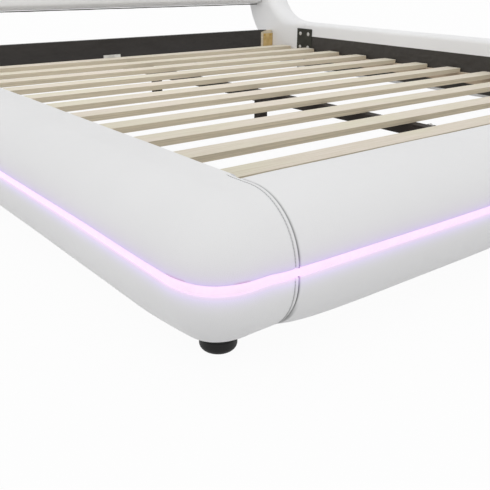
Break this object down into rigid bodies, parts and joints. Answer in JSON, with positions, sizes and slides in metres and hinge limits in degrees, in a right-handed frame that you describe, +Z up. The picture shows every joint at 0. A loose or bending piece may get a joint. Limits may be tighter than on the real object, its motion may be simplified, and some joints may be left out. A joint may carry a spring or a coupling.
{
  "type": "floor bed",
  "caption": "Low padded floor bed with rolled leather rails, a light strip round the outside, a slatted deck on a centre beam and a leaning headboard between swept posts.",
  "frame": {"origin": "centre of the bounding box on the floor", "axes": "+X across the width towards the right rail as seen from the foot, +Y along the length from the foot to the headboard, +Z up"},
  "size_m": [2.11, 2.5222, 0.85],
  "materials": {
    "white_leather": "semi-gloss grained white leather",
    "black_cloth": "matt black lining cloth",
    "plywood": "raw plywood",
    "pale_wood": "pale sanded wood, unvarnished",
    "black_steel": "black powder coat",
    "bright_steel": "bare zinc-grey steel",
    "zinc_steel": "yellow zinc plating",
    "black_plastic": "matt black",
    "light_strip": "milky diffuser over lit diodes"
  },
  "bodies": {
    "root": {"beam_hanger_foot": "bright_steel", "beam_hanger_head": "bright_steel", "beam_leg_foot": "black_steel", "beam_leg_head": "black_steel", "beam_leg_middle": "black_steel", "centre_beam": "black_steel", "corner_foot_left": "black_plastic", "corner_foot_right": "black_plastic", "foot_angle_left": "black_steel", "foot_angle_right": "black_steel", "foot_board": "plywood", "foot_cover": "white_leather", "foot_lining": "black_cloth", "front_foot": "black_plastic", "head_end_plate_left": "zinc_steel", "head_end_plate_right": "zinc_steel", "head_rail_board": "pale_wood", "head_rail_sleeve": "black_cloth", "headboard_back": "black_cloth", "headboard_lower_pad": "white_leather", "headboard_upper_pad": "white_leather", "joint_plate_left": "black_steel", "joint_plate_right": "black_steel", "leg_glide_foot": "black_plastic", "leg_glide_head": "black_plastic", "leg_glide_middle": "black_plastic", "light_controller": "black_plastic", "light_strip_foot": "light_strip", "light_strip_left": "light_strip", "light_strip_right": "light_strip", "middle_foot_left": "black_plastic", "middle_foot_right": "black_plastic", "post_board_left": "plywood", "post_board_right": "plywood", "post_cover_left": "white_leather", "post_cover_right": "white_leather", "post_foot_left": "black_plastic", "post_foot_right": "black_plastic", "post_ledger_left": "pale_wood", "post_ledger_right": "pale_wood", "side_board_left": "plywood", "side_board_right": "plywood", "side_cover_left": "white_leather", "side_cover_right": "white_leather", "side_ledger_left": "pale_wood", "side_ledger_right": "pale_wood", "side_lining_left": "black_cloth", "side_lining_right": "black_cloth", "slat_01": "pale_wood", "slat_02": "pale_wood", "slat_03": "pale_wood", "slat_04": "pale_wood", "slat_05": "pale_wood", "slat_06": "pale_wood", "slat_07": "pale_wood", "slat_08": "pale_wood", "slat_09": "pale_wood", "slat_10": "pale_wood", "slat_11": "pale_wood", "slat_12": "pale_wood"}
  },
  "joints": []
}
